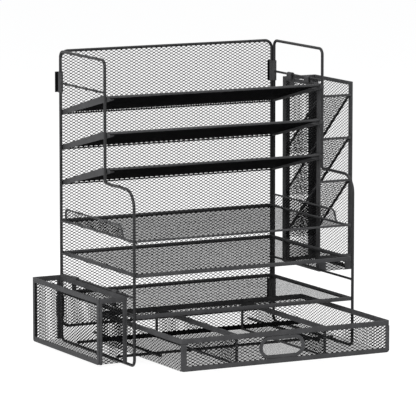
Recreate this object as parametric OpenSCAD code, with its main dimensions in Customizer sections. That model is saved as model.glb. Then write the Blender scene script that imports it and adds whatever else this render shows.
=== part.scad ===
// Desk sorter of black coated steel: two stepped wire side frames carry six mesh trays, a sliding
// mesh drawer, a mesh basket hung on the left and a three-chute pen holder hung on the right.
// Origin: on the floor, midway between the side frames and midway along their feet.
// +X points to the object's right as seen from the front, +Y to its back, +Z up.

/* [Frame] */
// Spacing of the side frames, wire centre to wire centre
frame_w = 330; // [322:1:345]
// Height over the top wires
frame_h = 400.7; // [396:0.1:415]
// Depth of the lower half, back panel wire to front upright
lower_d = 227; // [222:1:236]
// Depth of the upper half, back panel wire to front upright
upper_d = 141; // [136:1:146]
// Height of the upper half, shoulder wire to top wires
upper_h = 163.7; // [160:0.1:167]
// Diameter of the frame wire
wire_d = 4; // [3.6:0.1:4.4]
// Bend radius of the frame's corners
corner_r = 8; // [6:0.5:12]
// Bend radius of the shoulder over the lower front upright
shoulder_r = 24; // [18:1:30]
// Bend radius of the back panel's corners
panel_r = 11; // [8:0.5:14]
// Height of the back panel's bottom wire over the feet
panel_lift = 18; // [12:1:20]
// How far the back panel's upright wires lie inside the side frames' wires
panel_inset = 1.8; // [1.5:0.1:2.2]

/* [Rails and floor bars] */
// Diameter of the side rails
rail_d = 3.2; // [2.8:0.1:3.6]
// Depth of the upper side rails below the top wires
upper_rail_drop = 43.2; // [38:0.1:45]
// Height of the lower side rails over the bottom tray
lower_rail_lift = 26; // [24:0.5:30]
// Distance of the floor bars from the frame's front and rear
bar_inset = 53; // [40:1:70]
// Distance of the drawer's runner wires from the middle
runner_x = 120; // [90:1:140]

/* [Clips] */
// Height of a panel clip
clip_h = 28; // [20:1:32]
// Width of a clip's rear plate
clip_w = 12; // [10:0.5:14]
// Thickness of the clip
clip_t = 1.2; // [1:0.1:1.4]
// Distance of the upper clips' middles from the top wires
clip_inset = 42; // [32:1:46]
// Distance of the lower clips' middles from the panel's bottom wire
clip_rise = 28; // [26:1:30]

/* [Mesh and hems] */
// Thickness of the expanded mesh
net_t = 0.8; // [0.6:0.1:0.9]
// Width of a mesh strand
strand = 3; // [2:0.1:3.5]
// Thickness of a folded hem
hem_t = 2; // [1.8:0.1:2.4]
// Depth to which the mesh sits in a hem
bite = 3; // [2:0.1:3.5]
// Length of one mesh cell
cell_l = 30; // [26:1:40]
// Height of one mesh cell
cell_h = 20; // [18:1:28]

/* [Upper trays] */
// Depth of the top tray's front rim below the upper rails
upper_tray_drop = 6.1; // [4.5:0.1:8]
// Height from one upper tray to the next
upper_pitch = 48.2; // [46:0.1:49]
// Fall from the front rim to the rear hem
upper_fall = 36; // [33:0.5:38]
// Diameter of the rolled front rim
roll_d = 3.4; // [3:0.1:4]
// Depth of a side flange at the front upright
flange_front = 9.6; // [8:0.1:11]
// Depth of a side flange at the rear
flange_rear = 6.8; // [6:0.1:8]
// Length of the ear in front of the upright
ear_l = 11; // [8:0.5:13]
// Thickness of the flanges
sheet_t = 1.2; // [1:0.1:1.4]
// Height of the rear hem
rear_hem = 2.7; // [2.4:0.1:3]

/* [Lower trays] */
// Depth of the top lower tray below the shoulder
lower_tray_drop = 68.5; // [64:0.5:72]
// Height of the bottom tray over the drawer
lower_tray_lift = 11.2; // [9:0.1:14]
// Place of the middle lower tray between the other two
middle_tray = 0.553; // [0.45:0.001:0.6]
// Height of the rims' bands
rim_h = 5.4; // [4.6:0.1:6]
// Height of the side bands of the guarded tray
slim_h = 3.2; // [3:0.1:4]
// Thickness of the rims
rim_t = 2.4; // [2:0.1:2.8]
// Diameter of the wire of lugs and guards
lug_d = 2.6; // [2.2:0.1:2.8]
// Length of a wire lug
lug_l = 24; // [18:1:30]
// Height of the guard wires over the rim
guard_h = 16.5; // [14:0.5:20]
// Length of the guard wires
guard_l = 178; // [150:1:190]

/* [Drawer] */
// Width of the drawer
drawer_w = 311; // [300:1:316]
// Depth of the drawer
drawer_d = 240; // [225:1:245]
// Height of the drawer
drawer_h = 43.3; // [38:0.1:45]
// How far the drawer stands open at rest
drawer_out = 100; // [60:1:130]
// Height of the drawer's top band
drawer_band = 7; // [6:0.1:8]
// Width of the front's left band
front_left = 8.5; // [7:0.5:10]
// Width of the front's right band
front_right = 5.5; // [5:0.5:10]
// Height of the front's bottom band
front_bottom = 6.5; // [5:0.5:8]
// Height of the rear wall's bottom band
drawer_rear_band = 6.5; // [5:0.5:8]
// Radius of the front's lower corners
front_r = 4; // [3:0.5:5]
// Length of the finger slot
slot_l = 61; // [50:1:70]
// Height of the finger slot
slot_h = 21.4; // [18:0.1:22]
// Width of the finger slot's surround
slot_ring = 3.2; // [2.6:0.1:3.6]
// Place of the finger slot's middle
slot_x = -6.5; // [-10:0.5:10]
// Place of the left divider
divider_left_x = -72; // [-90:1:-60]
// Place of the right divider
divider_right_x = 59.5; // [50:0.5:80]

/* [Basket] */
// Width of the hanging basket
basket_w = 42.4; // [36:0.1:50]
// Length of the hanging basket
basket_l = 204; // [180:1:206]
// Height of the hanging basket
basket_h = 88.5; // [80:0.1:88.6]
// Gap from the basket's rear wall to the frame's rear wire
basket_gap = 2; // [1.5:0.5:8]
// Height of the basket's top and bottom bands
basket_band = 7; // [6:0.1:8]
// Width of the basket's upright bands
basket_post = 5; // [4:0.1:6]

/* [Holder] */
// Width of the hanging holder
holder_w = 52.2; // [40:0.1:55]
// Length of the hanging holder
holder_l = 106; // [90:1:108]
// Height of the hanging holder
holder_h = 261; // [255:1:262]
// Depth by which the holder's top lies under the upper rail
holder_drop = 5.5; // [5:0.5:7]
// Gap from the holder's front to the upper front upright
holder_gap = 10.1; // [0.6:0.1:12]
// Height of the holder's top and bottom bands
holder_band = 5.2; // [4:0.1:6]
// Width of the holder's upright bands
holder_post = 9; // [7:0.5:10]
// Height of the holder's front lip
lip_h = 22; // [18:1:28]
// Depth of the chutes' front rims
chute_rim = 3.4; // [2.5:0.1:4]
// Drop of the first chute's rim below the holder's top
chute_start = 16.6; // [12:0.1:20]
// Height from one chute to the next
chute_pitch = 59; // [50:0.5:60]
// Slope of the chutes
chute_slope = 42; // [40:1:46]

/* [Hooks] */
// Thickness of a hook strap
hook_t = 1.2; // [1:0.1:1.3]
// Width of a hook strap
hook_w = 12; // [8:1:16]
// Clearance of a hook round its rail
hook_gap = 0.3; // [0.2:0.05:0.4]
// Reach of a hook below its rail
hook_reach = 4.5; // [3:0.5:5]
// Length of the strap on the wall
hook_leg = 18; // [14:1:24]

/* [Hidden] */

// Facets of wire bends and of wire sections
bend_fn = 96;
wire_fn = 24;
// Gap between pieces that are welded to each other or lie against each other
weld_gap = 0.1;
// Gap between a tray and the uprights that it seats between
seat_gap = 0.3;
// Gap from the mesh to the sides of the hem or groove round it
fold_gap = 0.1;

// Planes of the frame
frame_x = frame_w / 2;
panel_y = lower_d / 2;
front_y = -lower_d / 2;
upper_y = panel_y - upper_d;
rear_step = sqrt(pow(wire_d + 2 * weld_gap + 0.2, 2) - pow(panel_inset, 2));
rear_y = panel_y - rear_step;
foot_z = wire_d / 2;
top_z = frame_h - wire_d / 2;
shoulder_z = top_z - upper_h;
panel_z = foot_z + panel_lift;
panel_x = frame_x - panel_inset;
inner_x = frame_x - wire_d / 2;

// Floor bars lie on the side frames' feet, and the runners on the floor bars
bar_z = foot_z + wire_d + weld_gap;
bar_y = lower_d / 2 - bar_inset;
runner_z = bar_z + wire_d + weld_gap;
runner_end = lower_d / 2 - wire_d * 3;

// Trays seat between the uprights
tray_x = inner_x - seat_gap;
tray_back = panel_y - 3;
flange_x = tray_x - sheet_t;
slim_groove = net_t + 2 * fold_gap;

// Drawer box, at rest
drawer_x = drawer_w / 2;
drawer_z = runner_z + wire_d / 2 + seat_gap;
drawer_back = tray_back - drawer_out;
drawer_front = drawer_back - drawer_d;
drawer_top = drawer_z + drawer_h;
wall_in = (hem_t - net_t) / 2;
slot_z = drawer_z + drawer_h / 2 - 1.2;

// Heights of the lower trays and of the rails
level_6 = drawer_top + lower_tray_lift;
level_4 = shoulder_z - lower_tray_drop;
level_5 = level_6 + (level_4 - level_6) * middle_tray;
lower_rail_z = level_6 + lower_rail_lift;
upper_rail_z = top_z - upper_rail_drop;

// Hung pieces: the strap's outer leg lies between the rail and the wall
rail_grip = rail_d / 2 + hook_gap;
wall_x = frame_x + rail_grip + hook_t + weld_gap;
basket_back = rear_y - wire_d / 2 - basket_gap;
basket_front = basket_back - basket_l;
basket_top = lower_rail_z;
basket_z = basket_top - basket_h;
basket_out = wall_x + basket_w;
holder_front = upper_y + wire_d / 2 + holder_gap;
holder_back = holder_front + holder_l;
holder_top = upper_rail_z - holder_drop;
holder_z = holder_top - holder_h;
holder_out = wall_x + holder_w;

black = [0.09, 0.09, 0.095];
grey = [0.16, 0.16, 0.165];

// ---------------------------------------------------------------- general shapes

// Box between two corners
module block(lo, hi) {
    translate(lo) cube(hi - lo);
}

// Flat rectangle between two corners
module rect(lo, hi) {
    translate(lo) square(hi - lo);
}

// Flat rectangle with round corners
module round_rect(lo, hi, r) {
    union() {
        rect([lo.x + r, lo.y], [hi.x - r, hi.y]);
        rect([lo.x, lo.y + r], [hi.x, hi.y - r]);
        for (x = [lo.x + r, hi.x - r], y = [lo.y + r, hi.y - r])
            translate([x, y]) circle(r, $fn = bend_fn);
    }
}

// Flat slot with round ends, centred
module slot_2d(length, height) {
    union() {
        square([length - height, height], center = true);
        for (s = [-1, 1]) translate([s * (length - height) / 2, 0]) circle(d = height, $fn = bend_fn);
    }
}

// Lays a flat drawing upright across the object: drawing x to +X, y to +Z, thickness to -Y
module across(at) {
    translate(at) rotate([90, 0, 0]) children();
}

// Lays a flat drawing upright along the object: drawing x to +Y, y to +Z, thickness to +X
module along(at) {
    translate(at) rotate([90, 0, 90]) children();
}

// Straight wire between two points
module wire(from, to, d) {
    v = to - from;
    translate(from) rotate([0, acos(v.z / norm(v)), atan2(v.y, v.x)])
        cylinder(d = d, h = norm(v), $fn = wire_fn);
}

function turn(a, b, c) = let (u = b - a, v = c - b) atan2(u.x * v.y - u.y * v.x, u * v);
function setback(a, b, c, r) = r * tan(abs(turn(a, b, c)) / 2);

// Round bend of a flat wire at corner b
module wire_bend(a, b, c, r, d) {
    u = (b - a) / norm(b - a);
    v = (c - b) / norm(c - b);
    side = sign(turn(a, b, c));
    centre = b - u * setback(a, b, c, r) + side * r * [-u.y, u.x];
    from = side > 0 ? atan2(-u.x, u.y) : atan2(v.x, -v.y);
    translate(centre) rotate([0, 0, from]) rotate_extrude(angle = abs(turn(a, b, c)), $fn = bend_fn)
        translate([r, 0]) circle(d = d, $fn = wire_fn);
}

// Straight stretch of a flat wire from b to c, shortened by its bends
module wire_run(b, c, cut_b, cut_c, d) {
    v = (c - b) / norm(c - b);
    translate(b + v * cut_b) rotate([0, 0, atan2(v.y, v.x)]) rotate([0, 90, 0])
        cylinder(d = d, h = norm(c - b) - cut_b - cut_c, $fn = wire_fn);
}

// Closed wire through the corners p, bent to the radii r
module closed_wire(p, r, d) {
    n = len(p);
    cut = [for (i = [0:n - 1]) setback(p[(i + n - 1) % n], p[i], p[(i + 1) % n], r[i])];
    union() {
        for (i = [0:n - 1]) wire_bend(p[(i + n - 1) % n], p[i], p[(i + 1) % n], r[i], d);
        for (i = [0:n - 1]) wire_run(p[i], p[(i + 1) % n], cut[i], cut[(i + 1) % n], d);
    }
}

// Open wire through the points p, all bends of one radius
module open_wire(p, r, d) {
    n = len(p);
    cut = [for (i = [0:n - 1]) i == 0 || i == n - 1 ? 0 : setback(p[i - 1], p[i], p[i + 1], r)];
    union() {
        for (i = [1:n - 2]) wire_bend(p[i - 1], p[i], p[i + 1], r, d);
        for (i = [0:n - 2]) wire_run(p[i], p[i + 1], cut[i], cut[i + 1], d);
    }
}

// Staggered diamonds of the expanded mesh that fit in a window
module diamonds(lo, hi, cell) {
    size = hi - lo;
    cols = max(1, floor((size.x - strand) / cell.x));
    rows = max(1, floor((size.y - strand * cell.y / cell.x) / cell.y));
    start = lo + (size - [cols * cell.x, rows * cell.y]) / 2;
    gap = cell - [strand, strand * cell.y / cell.x] * 2;
    for (i = [0:cols - 1], j = [0:rows - 1])
        translate(start + [(i + 0.5) * cell.x, (j + 0.5) * cell.y])
            polygon([[gap.x / 2, 0], [0, gap.y / 2], [-gap.x / 2, 0], [0, -gap.y / 2]]);
    if (cols > 1 && rows > 1)
        for (i = [1:cols - 1], j = [1:rows - 1])
            translate(start + [i * cell.x, j * cell.y])
                polygon([[gap.x / 2, 0], [0, gap.y / 2], [-gap.x / 2, 0], [0, -gap.y / 2]]);
}

// Mesh cell sized so that whole cells fill a window
function fit_cell(lo, hi, l, h) = let (
    s = hi - lo,
    cols = max(1, round(s.x / l)),
    rows = max(1, round(s.y / h))
) [(s.x - strand) / cols, (s.y - strand * h / l) / rows];

// Mesh plate from lo to hi, with its diamonds inside the window
module net(lo, hi, win_lo, win_hi, l = cell_l, h = cell_h) {
    linear_extrude(net_t) difference() {
        rect(lo, hi);
        diamonds(win_lo, win_hi, fit_cell(win_lo, win_hi, l, h));
    }
}

// Window of a panel of that size inside its bands [left, right, bottom, top]
function win_lo(bands) = [bands[0], bands[2]];
function win_hi(size, bands) = [size.x - bands[1], size.y - bands[3]];

// Corners of the mesh in a banded panel: into each band by the bite, and to the edge elsewhere
function net_lo(bands, pad = fold_gap) = [
    bands[0] > 0 ? bands[0] - bite + pad : 0,
    bands[2] > 0 ? bands[2] - bite + pad : 0
];
function net_hi(size, bands, pad = fold_gap) = [
    size.x - (bands[1] > 0 ? bands[1] - bite + pad : 0),
    size.y - (bands[3] > 0 ? bands[3] - bite + pad : 0)
];

// Folded hem round a panel, with the groove that holds the mesh; open on sides with no band
module hem(size, bands) {
    over = [1, 1];
    lo = win_lo(bands) - [bands[0] > 0 ? 0 : 1, bands[2] > 0 ? 0 : 1];
    hi = win_hi(size, bands) + [bands[1] > 0 ? 0 : 1, bands[3] > 0 ? 0 : 1];
    g_lo = net_lo(bands, 0) - [bands[0] > 0 ? 0 : 1, bands[2] > 0 ? 0 : 1];
    g_hi = net_hi(size, bands, 0) + [bands[1] > 0 ? 0 : 1, bands[3] > 0 ? 0 : 1];
    difference() {
        cube([size.x, size.y, hem_t]);
        translate([lo.x, lo.y, -1]) cube([hi.x - lo.x, hi.y - lo.y, hem_t + 2]);
        translate([g_lo.x, g_lo.y, wall_in - fold_gap])
            cube([g_hi.x - g_lo.x, g_hi.y - g_lo.y, net_t + 2 * fold_gap]);
    }
}

// Mesh of a banded panel, in the middle of the hem's thickness
module panel_net(size, bands, l = cell_l, h = cell_h) {
    translate([0, 0, wall_in])
        net(net_lo(bands), net_hi(size, bands), win_lo(bands), win_hi(size, bands), l, h);
}

// Panel whose hem and mesh are one piece
module hemmed_net(size, bands, l = cell_l, h = cell_h) {
    union() {
        difference() {
            cube([size.x, size.y, hem_t]);
            translate([bands[0], bands[2], -1])
                cube([size.x - bands[0] - bands[1], size.y - bands[2] - bands[3], hem_t + 2]);
        }
        translate([0, 0, wall_in]) linear_extrude(net_t) difference() {
            rect([bands[0] - 1, bands[2] - 1], win_hi(size, bands) + [1, 1]);
            diamonds(win_lo(bands), win_hi(size, bands),
                fit_cell(win_lo(bands), win_hi(size, bands), l, h));
        }
    }
}

// ---------------------------------------------------------------- frame

// Stepped bent-wire side frame; side is -1 on the left and 1 on the right
module side_frame(side) {
    color(grey) along([side * frame_x, 0, 0]) closed_wire(
        [[rear_y, foot_z], [rear_y, top_z], [upper_y, top_z], [upper_y, shoulder_z],
            [front_y, shoulder_z], [front_y, foot_z]],
        [corner_r, corner_r, corner_r, corner_r / 2, shoulder_r, corner_r], wire_d);
}

// Straight rail across a side frame, between its rear wire, or the clip on it, and a front upright
module side_rail(side, z, upright_y, rear_gap = 0) {
    reach = wire_d / 2 + weld_gap;
    color(grey) wire([side * frame_x, upright_y + reach, z],
        [side * frame_x, rear_y - reach - rear_gap, z], rail_d);
}

// Wire across the frame's feet
module floor_bar(y) {
    color(grey) wire([-frame_x, y, bar_z], [frame_x, y, bar_z], wire_d);
}

// Pair of wires on the floor bars, on which the drawer slides
module drawer_runners() {
    color(grey) for (s = [-1, 1])
        wire([s * runner_x, -runner_end, runner_z], [s * runner_x, runner_end, runner_z], wire_d);
}

module back_panel_wire() {
    color(grey) across([0, panel_y, 0]) closed_wire(
        [[-panel_x, panel_z], [panel_x, panel_z], [panel_x, top_z], [-panel_x, top_z]],
        [panel_r, panel_r, panel_r, panel_r], wire_d);
}

module back_panel_mesh() {
    x = panel_x - wire_d / 2 - weld_gap;
    lo = [-x, panel_z + wire_d / 2 + weld_gap];
    hi = [x, top_z - wire_d / 2 - weld_gap];
    edge = [strand, strand];
    color(black) across([0, panel_y + net_t / 2, 0]) linear_extrude(net_t) difference() {
        round_rect(lo, hi, panel_r - wire_d / 2 - weld_gap);
        diamonds(lo + edge, hi - edge, fit_cell(lo + edge, hi - edge, cell_l * 0.87, cell_h * 1.5));
    }
}

// Clip that wraps a side frame's rear wire and the panel's wire, with a flat rear plate
module panel_clip(side, z) {
    grip = wire_d / 2 + weld_gap;
    plate_y = panel_y + grip;
    slit = net_t / 2 + weld_gap;
    translate([0, 0, z - clip_h / 2]) linear_extrude(clip_h) difference() {
        union() {
            translate([side * panel_x, panel_y]) circle(grip + clip_t, $fn = bend_fn);
            translate([side * frame_x, rear_y]) circle(grip + clip_t, $fn = bend_fn);
            translate([side * (panel_x + frame_x) / 2, plate_y + clip_t / 2])
                square([clip_w, clip_t], center = true);
        }
        translate([side * panel_x, panel_y]) circle(grip, $fn = bend_fn);
        translate([side * frame_x, rear_y]) circle(grip, $fn = bend_fn);
        translate([side * (panel_x - clip_w / 2), panel_y]) square([clip_w, slit * 2], center = true);
    }
}

module panel_clips() {
    color(black) for (s = [-1, 1], z = [top_z - clip_inset, panel_z + clip_rise]) panel_clip(s, z);
}

// ---------------------------------------------------------------- upper trays

// Heights of tray n, counted from the top
function rim_z(n) = upper_rail_z - upper_tray_drop - (n - 1) * upper_pitch;
function hem_z(n) = rim_z(n) - upper_fall;
rim_y = upper_y + 1.2;
floor_lift = 3.4;

// Tapered side flange with its ear in front of the upright
module tray_flange(n) {
    top = rim_z(n) + roll_d / 2;
    low = hem_z(n) - rear_hem / 2;
    linear_extrude(sheet_t) polygon([
        [upper_y - ear_l, top - 3.5], [upper_y - ear_l + 2.5, top - 5.5],
        [upper_y + 8, top - flange_front], [tray_back, low], [tray_back, low + flange_rear],
        [upper_y + 13, top - 0.6], [upper_y, top]
    ]);
}

// Rim of an upper tray: rolled front edge, two flanges and the rear flange with its mesh row
module upper_tray_rim(n) {
    low = hem_z(n) - rear_hem / 2;
    rise = hem_z(n) + floor_lift - low;
    slots = 16;
    pitch = (2 * flange_x - strand) / slots;
    color(grey) union() {
        wire([-flange_x - sheet_t / 2, rim_y, rim_z(n)], [flange_x + sheet_t / 2, rim_y, rim_z(n)], roll_d);
        along([-tray_x, 0, 0]) tray_flange(n);
        along([flange_x, 0, 0]) tray_flange(n);
        block([-flange_x - sheet_t / 2, tray_back - hem_t, low],
            [flange_x + sheet_t / 2, tray_back, low + rear_hem]);
        across([0, tray_back - hem_t / 2 + net_t / 2, 0]) linear_extrude(net_t) difference() {
            rect([-flange_x - sheet_t / 2, low + rear_hem / 2], [flange_x + sheet_t / 2, low + rise]);
            for (i = [0:slots - 1])
                rect([-flange_x + strand / 2 + i * pitch + strand / 2, low + rear_hem + 0.3],
                    [-flange_x + strand / 2 + (i + 1) * pitch - strand / 2, low + rise - 0.6]);
        }
    }
}

// Sloping mesh floor, from the rolled edge to the top of the rear flange
module upper_tray_mesh(n) {
    from = [rim_y + roll_d / 2 + weld_gap, rim_z(n)];
    to = [tray_back - hem_t / 2 - net_t / 2 - weld_gap, hem_z(n) + floor_lift];
    slope = atan2(from.y - to.y, to.x - from.x);
    half = flange_x - weld_gap;
    size = [2 * half, norm(to - from) - weld_gap];
    edge = [strand, strand * 2];
    color(black) translate([-half, from.x, from.y]) rotate([-slope, 0, 0]) translate([0, 0, -net_t])
        net([0, 0], size, edge, size - edge, cell_l * 1.3, cell_h * 1.3);
}

// ---------------------------------------------------------------- lower trays

// Wire lug from the rim's side to the upright at y; dir is 1 towards the rear and -1 to the front
module tray_lug(side, z, upright_y, dir) {
    end = upright_y - dir * (wire_d / 2 + seat_gap);
    start = end - dir * lug_l;
    root = tray_x - rim_t / 2;
    translate([0, 0, z])
        open_wire([[side * root, start], [side * frame_x, start], [side * frame_x, end]], 3, lug_d);
}

// Rim of a lower tray: front and rear bands, side bands, four lugs and the guards given with it
module lower_tray_rim(z, side_h) {
    lo = [-tray_x, front_y - rim_t / 2];
    hi = [tray_x, tray_back];
    difference() {
        union() {
            block([lo.x, lo.y, z - rim_h / 2], [hi.x, lo.y + rim_t, z + rim_h / 2]);
            block([lo.x, hi.y - rim_t, z - rim_h / 2], [hi.x, hi.y, z + rim_h / 2]);
            for (s = [-1, 1]) {
                block([s * (tray_x - rim_t / 2) - rim_t / 2, lo.y, z - side_h / 2],
                    [s * (tray_x - rim_t / 2) + rim_t / 2, hi.y, z + side_h / 2]);
                tray_lug(s, z, front_y, -1);
                tray_lug(s, z, rear_y, 1);
            }
            children();
        }
        block([lo.x + rim_t / 2, lo.y + rim_t / 2, z - net_t / 2 - fold_gap],
            [hi.x - rim_t / 2, hi.y - rim_t / 2, z + net_t / 2 + fold_gap]);
    }
}

// Level mesh floor, held in the rim's groove
module lower_tray_mesh(z) {
    in = rim_t / 2 + fold_gap;
    lo = [-tray_x + in, front_y - rim_t / 2 + in];
    hi = [tray_x - in, tray_back - in];
    edge = [rim_t, rim_t] - [in, in] + [1, 1];
    color(black) translate([0, 0, z - net_t / 2])
        net(lo, hi, lo + edge, hi - edge, cell_l * 1.4, cell_h * 1.4);
}

guard_x = tray_x - rim_t / 2;
guard_r = 5;
guard_rear = tray_back - 8;
guard_front = guard_rear - guard_l;

// Raised wire over the side of the top lower tray
module guard_wire(side) {
    z = level_4 + slim_h / 2 - 0.6;
    along([side * guard_x, 0, 0]) open_wire(
        [[guard_rear, z], [guard_rear, level_4 + guard_h], [guard_front, level_4 + guard_h],
            [guard_front, z]],
        guard_r, lug_d);
}

// Mesh strip between the guard wire and the rim
module guard_mesh(side) {
    lo = [guard_front + lug_d / 2 + weld_gap, level_4 + slim_h / 2 + weld_gap];
    hi = [guard_rear - lug_d / 2 - weld_gap, level_4 + guard_h - lug_d / 2 - weld_gap];
    edge = [1, 1];
    bend = guard_r - lug_d / 2 - weld_gap;
    color(black) along([side * guard_x - net_t / 2, 0, 0]) linear_extrude(net_t) difference() {
        union() {
            rect(lo, [hi.x, hi.y - bend]);
            rect([lo.x + bend, lo.y], [hi.x - bend, hi.y]);
            for (y = [lo.x + bend, hi.x - bend]) translate([y, hi.y - bend]) circle(bend, $fn = bend_fn);
        }
        diamonds(lo + edge, hi - edge, fit_cell(lo + edge, hi - edge, cell_l * 0.6, cell_h * 0.6));
    }
}

// ---------------------------------------------------------------- drawer

// Top band round the drawer, with the groove that holds the wall mesh
module drawer_top_band() {
    lo = [-drawer_x, drawer_front];
    hi = [drawer_x, drawer_back];
    t = [hem_t, hem_t];
    m = [wall_in - fold_gap, wall_in - fold_gap];
    n = [wall_in + net_t + fold_gap, wall_in + net_t + fold_gap];
    z = drawer_top - drawer_band;
    color(grey) difference() {
        translate([0, 0, z]) linear_extrude(drawer_band) difference() {
            round_rect(lo, hi, hem_t);
            rect(lo + t, hi - t);
        }
        translate([0, 0, z - 1]) linear_extrude(bite + 1) difference() {
            rect(lo + m, hi - m);
            rect(lo + n, hi - n);
        }
    }
}

// Side and bottom bands of the drawer's front
module drawer_front_band() {
    h = drawer_h - drawer_band - weld_gap;
    size = [drawer_w, h];
    bands = [front_left, front_right, front_bottom, 0];
    color(grey) across([-drawer_x, drawer_front + hem_t, drawer_z]) difference() {
        hem(size, bands);
        for (x = [0, drawer_w]) translate([x, 0, -1]) linear_extrude(hem_t + 2) difference() {
            square(2 * front_r, center = true);
            translate([x == 0 ? front_r : -front_r, front_r]) circle(front_r, $fn = bend_fn);
        }
    }
}

// Pressed oval ring round the finger slot
module drawer_slot_ring() {
    at = [slot_x, drawer_front + hem_t, slot_z];
    grip = wall_in - fold_gap;
    color(grey) across(at) difference() {
        linear_extrude(hem_t) slot_2d(slot_l + 2 * slot_ring, slot_h + 2 * slot_ring);
        translate([0, 0, -1]) linear_extrude(hem_t + 2) slot_2d(slot_l, slot_h);
        translate([0, 0, grip]) linear_extrude(net_t + 2 * fold_gap) difference() {
            slot_2d(slot_l + 4 * slot_ring, slot_h + 4 * slot_ring);
            slot_2d(slot_l + slot_ring, slot_h + slot_ring);
        }
    }
}

// Mesh of the drawer's front, cut out round the finger slot
module drawer_front_mesh() {
    size = [drawer_w, drawer_h - drawer_band];
    bands = [front_left, front_right, front_bottom, 0];
    lo = net_lo(bands);
    hi = net_hi(size, bands) + [0, bite - fold_gap];
    w_lo = win_lo(bands);
    w_hi = win_hi(size, bands);
    mid = [slot_x + drawer_x, slot_z - drawer_z];
    clear = slot_l / 2 + 2 * slot_ring + fold_gap;
    color(black) across([-drawer_x, drawer_front + wall_in + net_t, drawer_z]) linear_extrude(net_t)
        difference() {
            rect(lo, hi);
            translate(mid) slot_2d(slot_l + slot_ring + 2 * fold_gap, slot_h + slot_ring + 2 * fold_gap);
            diamonds(w_lo, [mid.x - clear, w_hi.y],
                fit_cell(w_lo, [mid.x - clear, w_hi.y], cell_l * 0.7, cell_h * 0.6));
            diamonds([mid.x + clear, w_lo.y], w_hi,
                fit_cell([mid.x + clear, w_lo.y], w_hi, cell_l * 0.7, cell_h * 0.6));
        }
}

wall_low = drawer_z + net_t + fold_gap;
wall_top = drawer_top - drawer_band + bite - fold_gap;

// Mesh of a drawer side; side is -1 on the left and 1 on the right
module drawer_side_mesh(side) {
    lo = [drawer_front + hem_t + weld_gap, wall_low];
    hi = [drawer_back - wall_in, wall_top];
    win = [hi.x - hem_t, drawer_top - drawer_band];
    color(black) along([side * (drawer_x - wall_in - net_t / 2) - net_t / 2, 0, 0])
        net(lo, hi, lo + [1, 1], win, cell_l * 0.8, cell_h * 0.8);
}

module drawer_rear_mesh() {
    half = drawer_x - wall_in - net_t - fold_gap;
    lo = [-half, wall_low];
    hi = [half, wall_top];
    color(black) across([0, drawer_back - wall_in, 0])
        net(lo, hi, lo + [1, drawer_rear_band], [hi.x - 1, drawer_top - drawer_band],
            cell_l * 0.8, cell_h * 0.8);
}

module drawer_floor_mesh() {
    lo = [-drawer_x + wall_in, drawer_front + hem_t + weld_gap];
    hi = [drawer_x - wall_in, drawer_back - wall_in];
    edge = [hem_t, hem_t];
    color(black) translate([0, 0, drawer_z])
        net(lo, hi, lo + edge, hi - edge, cell_l * 1.4, cell_h * 1.4);
}

// Divider from the drawer's front to its rear
module drawer_divider(x) {
    gap = 2 * weld_gap;
    size = [drawer_d - 2 * hem_t - 2 * gap, drawer_h - net_t - 2 * gap];
    color(grey) along([x - hem_t / 2, drawer_front + hem_t + gap, wall_low])
        hemmed_net(size, [5, 5, 3, drawer_band], cell_l * 0.8, cell_h * 0.8);
}

// ---------------------------------------------------------------- basket

basket_size = [basket_l, basket_h];
basket_sides = [basket_post, basket_post, basket_band, basket_band];
basket_ends = [0, 0, 0, basket_band];
cross_w = basket_w - 2 * hem_t - 2 * weld_gap;

// Hemmed outer face of the basket
module basket_outer_band() {
    color(grey) along([-basket_out, basket_front, basket_z]) hem(basket_size, basket_sides);
}

module basket_outer_mesh() {
    color(black) along([-basket_out, basket_front, basket_z]) panel_net(basket_size, basket_sides);
}

// Hem of the wall beside the frame: top band and upright bands, open at the bottom
module basket_inner_band() {
    color(grey) along([-wall_x - hem_t, basket_front, basket_z])
        hem(basket_size, [basket_post, basket_post, 0, basket_band]);
}

module basket_inner_mesh() {
    bands = [basket_post, basket_post, 0, basket_band];
    lift = net_t + fold_gap;
    lo = net_lo(bands);
    hi = net_hi(basket_size, bands);
    color(black) along([-wall_x - hem_t + wall_in, basket_front, basket_z])
        net([lo.x, lift], hi, [basket_post, lift + 1], win_hi(basket_size, bands));
}

// Top bands and edge posts of the basket's front and rear
module basket_cross_bands() {
    size = [cross_w, basket_h];
    for (y = [basket_front + hem_t, basket_back])
        color(grey) across([-basket_out + hem_t + weld_gap, y, basket_z])
            hem(size, [basket_post - hem_t / 2, basket_post - hem_t / 2, 0, basket_band]);
}

module basket_end_mesh(y) {
    bands = [basket_post - hem_t / 2, basket_post - hem_t / 2, 0, basket_band];
    size = [cross_w, basket_h];
    lift = net_t + fold_gap;
    lo = net_lo(bands);
    hi = net_hi(size, bands);
    color(black) across([-basket_out + hem_t + weld_gap, y - wall_in, basket_z])
        net([lo.x, lift], hi, [bands[0], lift + 1], win_hi(size, bands), cell_l * 0.6, cell_h);
}

module basket_floor_mesh() {
    lo = [-basket_out + hem_t + weld_gap, basket_front + hem_t + weld_gap];
    hi = [-wall_x - hem_t - weld_gap, basket_back - hem_t - weld_gap];
    edge = [2, 2];
    color(black) translate([0, 0, basket_z]) net(lo, hi, lo + edge, hi - edge, cell_l * 0.6, cell_h);
}

// Strap bent over a rail; its long leg lies on the wall beside the frame
module hook_strap(side, y, rail_z) {
    in = rail_grip;
    out = rail_grip + hook_t;
    translate([side * frame_x, y + hook_w / 2, rail_z]) rotate([90, 0, 0]) linear_extrude(hook_w) union() {
        difference() {
            circle(out, $fn = bend_fn);
            circle(in, $fn = bend_fn);
            translate([-out - 1, -out - 1]) square([2 * out + 2, out + 1]);
        }
        rect([side > 0 ? in : -out, -hook_leg], [side > 0 ? out : -in, 0]);
        rect([side > 0 ? -out : in, -rail_d / 2 - hook_reach], [side > 0 ? -in : out, 0]);
    }
}

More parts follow.
